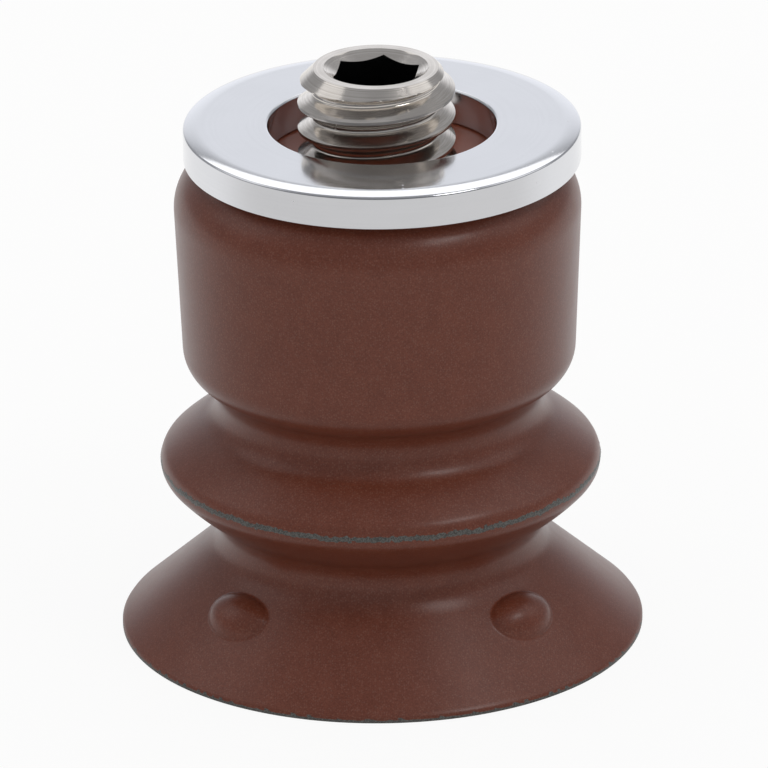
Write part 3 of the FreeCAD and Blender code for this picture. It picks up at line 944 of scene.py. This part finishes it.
class Graph:
    """A node tree with short calls to add nodes, set their values and link them."""

    def __init__(self, tree: bpy.types.NodeTree) -> None:
        """Keep the tree."""
        self.tree = tree

    def add(self, kind: str, **values: object) -> bpy.types.Node:
        """Add a node. A value named for one of the node's settings is set there, others on sockets.

        Args:
            kind: the node's type name.
            values: settings, or socket values with underscores for spaces.

        Returns:
            The new node.
        """
        node = self.tree.nodes.new(kind)
        for name, value in values.items():
            if hasattr(node, name):
                setattr(node, name, value)
            else:
                node.inputs[name.replace("_", " ")].default_value = value
        return node

    def group(self, tree: bpy.types.NodeTree, position: Socket, **values: float) -> bpy.types.Node:
        """Place a shared effect that reads a position.

        Args:
            tree: the effect's node group.
            position: the position to read.
            values: the effect's own socket values.

        Returns:
            The new node.
        """
        node = self.add("ShaderNodeGroup", node_tree=tree, **values)
        self.link(position, node.inputs["Position"])
        return node

    def link(self, source: Socket, target: Socket) -> None:
        """Link an output to an input."""
        self.tree.links.new(source, target)

    def feed(self, target: Socket, value: object) -> None:
        """Give an input a plain value, or link it where the value is a socket.

        Args:
            target: the input.
            value: a number, a colour or an output.
        """
        if isinstance(value, Socket):
            self.link(value, target)
        else:
            target.default_value = value

    def maths(self, operation: str, first: object, second: object = 0.0, third: object = 0.0) -> Socket:
        """Add a Math node.

        Args:
            operation: the node's operation.
            first: first value or socket.
            second: second value or socket.
            third: third value or socket.

        Returns:
            The node's output.
        """
        node = self.tree.nodes.new("ShaderNodeMath")
        node.operation = operation
        for target, value in zip(node.inputs, (first, second, third)):
            self.feed(target, value)
        return node.outputs[0]

    def weigh(self, first: Socket, share: float, second: Socket) -> Socket:
        """Weighted sum: a share of the first value, and the rest of the second."""
        rest = self.maths("MULTIPLY", second, 1.0 - share)
        return self.maths("ADD", self.maths("MULTIPLY", first, share), rest)

    def spread(self, value: Socket, span: Point, low: float = 0.0, high: float = 1.0) -> Socket:
        """Map a range of values smoothly to another range.

        Args:
            value: the value to map.
            span: lowest and highest value.
            low: result at the lowest value.
            high: result at the highest value.

        Returns:
            The result, held at its ends outside the span.
        """
        node = self.add("ShaderNodeMapRange", interpolation_type="SMOOTHSTEP")
        for name, number in zip(("From Min", "From Max", "To Min", "To Max"), (*span, low, high)):
            node.inputs[name].default_value = number
        self.link(value, node.inputs["Value"])
        return node.outputs["Result"]

    def mix(self, share: object, first: object, second: object) -> Socket:
        """Mix two colours.

        Args:
            share: share of the second colour, a value or a socket.
            first: a colour or a socket.
            second: a colour or a socket.

        Returns:
            The mixed colour.
        """
        node = self.tree.nodes.new("ShaderNodeMix")
        node.data_type = "RGBA"
        for place, value in ((0, share), (6, first), (7, second)):
            self.feed(node.inputs[place], value)
        return node.outputs[2]


Group = tuple[Graph, bpy.types.Node, bpy.types.Node]


class Effects:
    """Shared surface effects, each a node group that is built once."""

    cloud_share: float = 0.07

    def __init__(self) -> None:
        """Build the groups."""
        self.grain = self.make_grain()
        self.specks = self.make_specks()
        self.turning = self.make_turning()

    def start(self, name: str, inputs: dict[str, float], outputs: tuple[str, ...]) -> Group:
        """Start a node group that reads a position and puts out values.

        Args:
            name: the group's name.
            inputs: number inputs with their usual values.
            outputs: names of the outputs.

        Returns:
            The group's graph, its input node and its output node.
        """
        tree = bpy.data.node_groups.new(name, "ShaderNodeTree")
        tree.interface.new_socket("Position", in_out="INPUT", socket_type="NodeSocketVector")
        for label, value in inputs.items():
            socket = tree.interface.new_socket(label, in_out="INPUT", socket_type="NodeSocketFloat")
            socket.default_value = value
        for label in outputs:
            tree.interface.new_socket(label, in_out="OUTPUT", socket_type="NodeSocketFloat")
        graph = Graph(tree)
        return graph, graph.add("NodeGroupInput"), graph.add("NodeGroupOutput")

    def make_grain(self) -> bpy.types.NodeTree:
        """Fine grain and soft clouds: two noises, the second one many times wider.

        Returns:
            The node group.
        """
        graph, given, result = self.start("fine_grain", {"Scale": 9000.0}, ("Grain", "Cloud"))
        fine = graph.add("ShaderNodeTexNoise", Detail=3.0, Roughness=0.65)
        wide = graph.add("ShaderNodeTexNoise", Detail=2.0, Roughness=0.5)
        graph.link(given.outputs["Position"], fine.inputs["Vector"])
        graph.link(given.outputs["Position"], wide.inputs["Vector"])
        graph.link(given.outputs["Scale"], fine.inputs["Scale"])
        graph.link(graph.maths("MULTIPLY", given.outputs["Scale"], self.cloud_share), wide.inputs["Scale"])
        graph.link(fine.outputs[0], result.inputs["Grain"])
        graph.link(wide.outputs[0], result.inputs["Cloud"])
        return graph.tree

    def make_specks(self) -> bpy.types.NodeTree:
        """Scattered specks: a chosen share of a Voronoi pattern's cells, each fading from its middle.

        Returns:
            The node group.
        """
        usual = {"Scale": 6000.0, "Share": 0.1, "Size": 0.25}
        graph, given, result = self.start("specks", usual, ("Mask",))
        cells = graph.add("ShaderNodeTexVoronoi")
        graph.link(given.outputs["Position"], cells.inputs["Vector"])
        graph.link(given.outputs["Scale"], cells.inputs["Scale"])
        split = graph.add("ShaderNodeSeparateColor")
        graph.link(cells.outputs["Color"], split.inputs[0])
        chosen = graph.maths("LESS_THAN", split.outputs[0], given.outputs["Share"])
        away = graph.maths("DIVIDE", cells.outputs["Distance"], given.outputs["Size"])
        dot = graph.maths("MAXIMUM", graph.maths("SUBTRACT", 1.0, away), 0.0)
        graph.link(graph.maths("MULTIPLY", chosen, dot), result.inputs["Mask"])
        return graph.tree

    def make_turning(self) -> bpy.types.NodeTree:
        """Turning lines: a noise that changes with the distance from the axis and with height only.

        Returns:
            The node group.
        """
        graph, given, result = self.start("turning_lines", {"Scale": 14000.0}, ("Lines",))
        split = graph.add("ShaderNodeSeparateXYZ")
        graph.link(given.outputs["Position"], split.inputs[0])
        across = graph.maths("MULTIPLY", split.outputs[0], split.outputs[0])
        back = graph.maths("MULTIPLY", split.outputs[1], split.outputs[1])
        reach = graph.maths("SQRT", graph.maths("ADD", across, back))
        ring = graph.add("ShaderNodeCombineXYZ")
        graph.link(reach, ring.inputs[0])
        graph.link(split.outputs[2], ring.inputs[1])
        noise = graph.add("ShaderNodeTexNoise", noise_dimensions="2D", Detail=2.0)
        graph.link(ring.outputs[0], noise.inputs["Vector"])
        graph.link(given.outputs["Scale"], noise.inputs["Scale"])
        graph.link(noise.outputs[0], result.inputs["Lines"])
        return graph.tree


def new_material(name: str) -> tuple[bpy.types.Material, Graph, bpy.types.Node, Socket]:
    """Start a material with a Principled shader.

    Args:
        name: the material's name.

    Returns:
        The material, its graph, the shader node and the object position to build patterns on.
    """
    material = bpy.data.materials.new(name)
    material.use_nodes = True
    graph = Graph(material.node_tree)
    shader = material.node_tree.nodes["Principled BSDF"]
    place = graph.add("ShaderNodeTexCoord")
    return material, graph, shader, place.outputs["Object"]


@dataclass(frozen=True)
class RubberFinish:
    """Satin brown rubber with fine grain, pale specks, grey torn edges and painted light on the top face
    inside the washer's hole.
    """

    dark: Colour = (0.082, 0.0185, 0.0085, 1.0)
    light: Colour = (0.114, 0.0300, 0.0155, 1.0)
    speck: Colour = (0.26, 0.17, 0.14, 1.0)
    torn_dark: Colour = (0.036, 0.034, 0.031, 1.0)
    torn_light: Colour = (0.086, 0.085, 0.079, 1.0)
    # Painted light: brighter, redder colour of the top face inside the washer's hole.
    hole_light_colour: Colour = (0.185, 0.045, 0.021, 1.0)
    grain_scale: float = 17000.0
    grain_share: float = 0.8
    tone_span: Point = (0.34, 0.66)
    speck_scale: float = 12000.0
    speck_share: float = 0.5
    speck_size: float = 0.55
    speck_strength: float = 0.16
    torn_span: Point = (0.4, 0.62)
    edge_grain: float = 0.5
    edge_span: Point = (0.35, 0.65)
    roughness: float = 0.40
    cloud_roughness: float = 0.08
    torn_roughness: float = 0.12
    gloss: float = 0.24
    skin: float = 0.36
    skin_roughness: float = 0.25
    skin_ior: float = 1.4
    bump: float = 0.07
    bump_m: float = 0.00002
    torn_bump: float = 4.0

    def make(self, effects: Effects) -> bpy.types.Material:
        """Build the material: grain and clouds mix two browns, a painted light brightens the top face inside
        the washer's hole, and torn edges turn grey and rougher.

        Args:
            effects: the shared effects.

        Returns:
            The material.
        """
        material, graph, shader, position = new_material("moulded_rubber")
        texture = graph.group(effects.grain, position, Scale=self.grain_scale)
        specks = graph.group(
            effects.specks, position, Scale=self.speck_scale, Share=self.speck_share, Size=self.speck_size)
        torn = graph.add("ShaderNodeAttribute", attribute_name="torn").outputs["Fac"]
        painted_hole_light = graph.add("ShaderNodeAttribute", attribute_name="painted_hole_light").outputs["Fac"]
        grain, cloud = texture.outputs["Grain"], texture.outputs["Cloud"]
        tone = graph.weigh(grain, self.grain_share, cloud)
        colour = graph.mix(graph.spread(tone, self.tone_span), self.dark, self.light)
        pale = graph.maths("MULTIPLY", specks.outputs["Mask"], self.speck_strength)
        colour = graph.mix(pale, colour, self.speck)
        # Painted light: the top face inside the washer's hole turns brighter.
        colour = graph.mix(painted_hole_light, colour, self.hole_light_colour)
        grey = graph.mix(graph.spread(grain, self.torn_span), self.torn_dark, self.torn_light)
        frayed = graph.maths("MULTIPLY", graph.maths("SUBTRACT", grain, 0.5), self.edge_grain)
        share = graph.spread(graph.maths("ADD", torn, frayed), self.edge_span)
        graph.link(graph.mix(share, colour, grey), shader.inputs["Base Color"])
        base = self.roughness - 0.5 * self.cloud_roughness
        matt = graph.maths("MULTIPLY_ADD", cloud, self.cloud_roughness, base)
        graph.link(graph.maths("MULTIPLY_ADD", share, self.torn_roughness, matt), shader.inputs["Roughness"])
        shader.inputs["Specular IOR Level"].default_value = self.gloss
        shader.inputs["Coat Weight"].default_value = self.skin
        shader.inputs["Coat Roughness"].default_value = self.skin_roughness
        shader.inputs["Coat IOR"].default_value = self.skin_ior
        bump = graph.add("ShaderNodeBump", Strength=self.bump, Distance=self.bump_m)
        rough = graph.maths("MULTIPLY_ADD", share, self.torn_bump, 1.0)
        graph.link(graph.maths("MULTIPLY", grain, rough), bump.inputs["Height"])
        graph.link(bump.outputs[0], shader.inputs["Normal"])
        return material


@dataclass(frozen=True)
class MetalFinish:
    """Bare metal with turning lines, grain, a little dust and dark broached walls."""

    name: str
    dark: Colour
    light: Colour
    roughness: float
    lines: float
    line_scale: float
    dust: float
    # Darker colour given to the broached passage walls.
    passage_tone: Colour = (0.24, 0.25, 0.25, 1.0)
    grain_scale: float = 7000.0
    dust_scale: float = 3200.0
    dust_size: float = 0.22
    cloud_share: float = 0.6
    tone_span: Point = (0.38, 0.62)
    grain_roughness: float = 0.06
    dust_roughness: float = 0.3
    bump_m: float = 0.00001
    grain_bump: float = 0.06

    def make(self, effects: Effects) -> bpy.types.Material:
        """Build the material: clouds and turning lines mix two tones, and dust roughens specks.

        Args:
            effects: the shared effects.

        Returns:
            The material.
        """
        material, graph, shader, position = new_material(self.name)
        texture = graph.group(effects.grain, position, Scale=self.grain_scale)
        turning = graph.group(effects.turning, position, Scale=self.line_scale)
        specks = graph.group(
            effects.specks, position, Scale=self.dust_scale, Share=self.dust, Size=self.dust_size)
        broached = graph.add("ShaderNodeAttribute", attribute_name="broached").outputs["Fac"]
        grain, lines = texture.outputs["Grain"], turning.outputs["Lines"]
        tone = graph.weigh(texture.outputs["Cloud"], self.cloud_share, lines)
        colour = graph.mix(graph.spread(tone, self.tone_span), self.dark, self.light)
        # The broached passage walls are coloured darker.
        graph.link(graph.mix(broached, colour, self.passage_tone), shader.inputs["Base Color"])
        shader.inputs["Metallic"].default_value = 1.0
        base = self.roughness - 0.5 * self.grain_roughness
        matt = graph.maths("MULTIPLY_ADD", grain, self.grain_roughness, base)
        dusty = graph.maths("MULTIPLY_ADD", specks.outputs["Mask"], self.dust_roughness, matt)
        graph.link(dusty, shader.inputs["Roughness"])
        bump = graph.add("ShaderNodeBump", Strength=self.lines, Distance=self.bump_m)
        height = graph.maths("ADD", lines, graph.maths("MULTIPLY", grain, self.grain_bump))
        graph.link(height, bump.inputs["Height"])
        graph.link(bump.outputs[0], shader.inputs["Normal"])
        return material


@dataclass(frozen=True)
class SoftLight:
    """Oblong soft light that faces the cup: angles in degrees, sizes in metres, power in watts."""

    name: str
    azimuth: float
    elevation: float
    distance: float
    wide: float
    tall: float
    power: float

    def place(self, target: Vector) -> Piece:
        """Hang the light so that its face points at the target.

        Args:
            target: the point to light, in metres.

        Returns:
            The light's object.
        """
        turn, rise = math.radians(self.azimuth), math.radians(self.elevation)
        level = math.cos(rise)
        way = Vector((math.sin(turn) * level, -math.cos(turn) * level, math.sin(rise)))
        data = bpy.data.lights.new(self.name, "AREA")
        data.shape = "RECTANGLE"
        data.size, data.size_y, data.energy = self.wide, self.tall, self.power
        lamp = bpy.data.objects.new(self.name, data)
        lamp.location = target + way * self.distance
        lamp.rotation_euler = (-way).to_track_quat("-Z", "Y").to_euler()
        bpy.context.scene.collection.objects.link(lamp)
        return lamp


@dataclass
class Studio:
    """White surroundings, pale floor, soft lights and the camera at the photograph's angle.

    A ramp is the span of a direction's or a place's Y over which one brightness passes into another.
    """

    lights: tuple[SoftLight, ...] = (
        SoftLight("right_softbox", 53.0, 52.5, 0.30, 0.10, 0.05, 0.12),
        SoftLight("left_fill", -98.0, 40.0, 0.34, 0.20, 0.20, 0.075),
        SoftLight("right_fill", 98.0, 40.0, 0.34, 0.20, 0.20, 0.075),
        SoftLight("back_softbox", 180.0, 48.0, 0.34, 0.30, 0.16, 0.17),
    )
    light_target: float = 11.0
    ambient: float = 0.92
    front_fill: float = 1.32
    fill_ramp: Point = (-0.95, -0.5)
    front_glow: float = 0.22
    side_glow: float = 0.38
    front_ramp: Point = (-0.75, -0.2)
    back_glow: float = 1.1
    back_ramp: Point = (0.79, 0.985)
    mirror_tint: Colour = (0.95, 0.97, 1.02, 1.0)
    floor_rings: tuple[float, ...] = (0.01, 40.0, 400.0, 6000.0)
    floor_columns: int = 96
    floor_drop: float = 0.02
    floor_crease: float = 30.0
    floor_tone: Colour = (0.64, 0.635, 0.63, 1.0)
    floor_white: float = 0.9
    floor_mirror: float = 0.95
    floor_ramp: Point = (-0.02, 0.02)
    eye: tuple[float, float, float] = (0.0, -390.0, 171.3)
    pitch: float = 22.514
    yaw: float = 0.0234
    roll: float = 0.7
    focal_pixels: float = 11116.6
    picture: float = 768.0
    sensor: float = 36.0
    view_range_m: Point = (0.01, 20.0)

    def build(self) -> None:
        """Set up the world, the floor, the lights, the camera and the colour view."""
        self.world()
        self.floor()
        for light in self.lights:
            light.place(Vector((0.0, 0.0, self.light_target * MM)))
        self.camera()
        bpy.context.scene.view_settings.view_transform = "Standard"

    def background_rays(self, graph: Graph) -> tuple[Socket, Socket]:
        """Tell the rays that see the surroundings as a background.

        Args:
            graph: the graph to add the nodes to.

        Returns:
            A socket that is 1 for camera rays, and one that is 1 for mirror or see-through rays that
            met no matt surface before.
        """
        path = graph.add("ShaderNodeLightPath")
        mirror = graph.maths("MAXIMUM", path.outputs["Is Glossy Ray"], path.outputs["Is Transmission Ray"])
        direct = graph.maths("LESS_THAN", path.outputs["Diffuse Depth"], 0.5)
        return path.outputs["Is Camera Ray"], graph.maths("MULTIPLY", mirror, direct)

    def world(self) -> None:
        """White surroundings to the eye, which mirrors show bright behind the cup and darker elsewhere."""
        world = bpy.data.worlds.new("white_studio")
        bpy.context.scene.world = world
        world.use_nodes = True
        graph = Graph(world.node_tree)
        world.node_tree.nodes.clear()
        seen, mirror = self.background_rays(graph)
        split = graph.add("ShaderNodeSeparateXYZ")
        graph.link(graph.add("ShaderNodeTexCoord").outputs["Generated"], split.inputs[0])
        along = split.outputs["Y"]
        front = graph.spread(along, self.front_ramp, self.front_glow, self.side_glow)
        back = graph.spread(along, self.back_ramp, 0.0, self.back_glow - self.side_glow)
        lit = graph.spread(along, self.fill_ramp, self.front_fill, self.ambient)
        change = graph.maths("SUBTRACT", graph.maths("ADD", front, back), lit)
        strength = graph.maths("ADD", lit, graph.maths("MULTIPLY", mirror, change))
        glow = graph.add("ShaderNodeBackground")
        graph.link(graph.mix(mirror, WHITE, self.mirror_tint), glow.inputs["Color"])
        graph.link(graph.maths("MAXIMUM", strength, seen), glow.inputs["Strength"])
        graph.link(glow.outputs[0], graph.add("ShaderNodeOutputWorld").inputs[0])

    def floor(self) -> None:
        """Round pale floor that keeps a faint shadow.

        It is part lit surface and part even white, to the eye all round and to mirrors behind the cup.
        """
        rings = np.array([[radius, 0.0] for radius in self.floor_rings])
        grid = Grid.turned(rings, even_angles(self.floor_columns))
        points = grid.points()
        points[:, 2] -= self.floor_drop * MM
        piece = make_mesh("studio_floor", points, grid.faces(ring=False)[:, ::-1], self.floor_crease)
        material = bpy.data.materials.new("pale_floor")
        material.use_nodes = True
        nodes = material.node_tree.nodes
        graph = Graph(material.node_tree)
        nodes.remove(nodes["Principled BSDF"])
        lit = graph.add("ShaderNodeBsdfDiffuse", Color=self.floor_tone)
        even = graph.add("ShaderNodeEmission", Color=WHITE, Strength=1.0)
        seen, mirror = self.background_rays(graph)
        split = graph.add("ShaderNodeSeparateXYZ")
        graph.link(graph.add("ShaderNodeTexCoord").outputs["Object"], split.inputs[0])
        behind = graph.spread(split.outputs["Y"], self.floor_ramp, 0.0, self.floor_mirror)
        white = graph.maths("MULTIPLY", seen, self.floor_white)
        blend = graph.add("ShaderNodeMixShader")
        graph.link(graph.maths("MAXIMUM", white, graph.maths("MULTIPLY", mirror, behind)), blend.inputs[0])
        graph.link(lit.outputs[0], blend.inputs[1])
        graph.link(even.outputs[0], blend.inputs[2])
        graph.link(blend.outputs[0], nodes["Material Output"].inputs[0])
        piece.data.materials.append(material)

    def camera(self) -> None:
        """Long-lens camera: its axes come from pitch, yaw and a small roll."""
        pitch, yaw, roll = (math.radians(value) for value in (self.pitch, self.yaw, self.roll))
        level = math.cos(pitch)
        ahead = Vector((math.sin(yaw) * level, math.cos(yaw) * level, -math.sin(pitch)))
        right = Vector((math.cos(yaw), -math.sin(yaw), 0.0))
        above = right.cross(ahead)
        turned_right = right * math.cos(roll) - above * math.sin(roll)
        turned_up = right * math.sin(roll) + above * math.cos(roll)
        data = bpy.data.cameras.new("photo_camera")
        data.sensor_width = self.sensor
        data.lens = self.focal_pixels * self.sensor / self.picture
        data.clip_start, data.clip_end = self.view_range_m
        lens = bpy.data.objects.new("photo_camera", data)
        axes = Matrix((turned_right, turned_up, -ahead)).transposed().to_4x4()
        lens.matrix_world = Matrix.Translation(Vector(self.eye) * MM) @ axes
        bpy.context.scene.collection.objects.link(lens)
        bpy.context.scene.camera = lens


def main() -> None:
    """Build every piece in order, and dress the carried-over core."""
    logging.basicConfig(level=logging.INFO, format="%(name)s: %(message)s")
    effects = Effects()
    BellowsCup().build(RubberFinish().make(effects))
    steel = MetalFinish(
        "screw_steel_finish", dark=(0.60, 0.56, 0.515, 1.0), light=(0.76, 0.715, 0.665, 1.0),
        roughness=0.15, lines=0.04, line_scale=16000.0, dust=0.05)
    SetScrew().build(steel.make(effects))
    chrome = MetalFinish(
        "washer_polish", dark=(0.70, 0.705, 0.727, 1.0), light=(0.715, 0.72, 0.742, 1.0),
        roughness=0.11, lines=0.002, line_scale=9000.0, dust=0.03)
    LooseWasher().build(chrome.make(effects))
    turned = MetalFinish(
        "core_turned", dark=(0.55, 0.55, 0.57, 1.0), light=(0.72, 0.72, 0.74, 1.0),
        roughness=0.3, lines=0.4, line_scale=12000.0, dust=0.04)
    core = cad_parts["threaded_core"]
    core.data.materials.clear()
    core.data.materials.append(turned.make(effects))
    log.info("threaded_core: dressed")
    Studio().build()


if __name__ == "__main__":
    main()
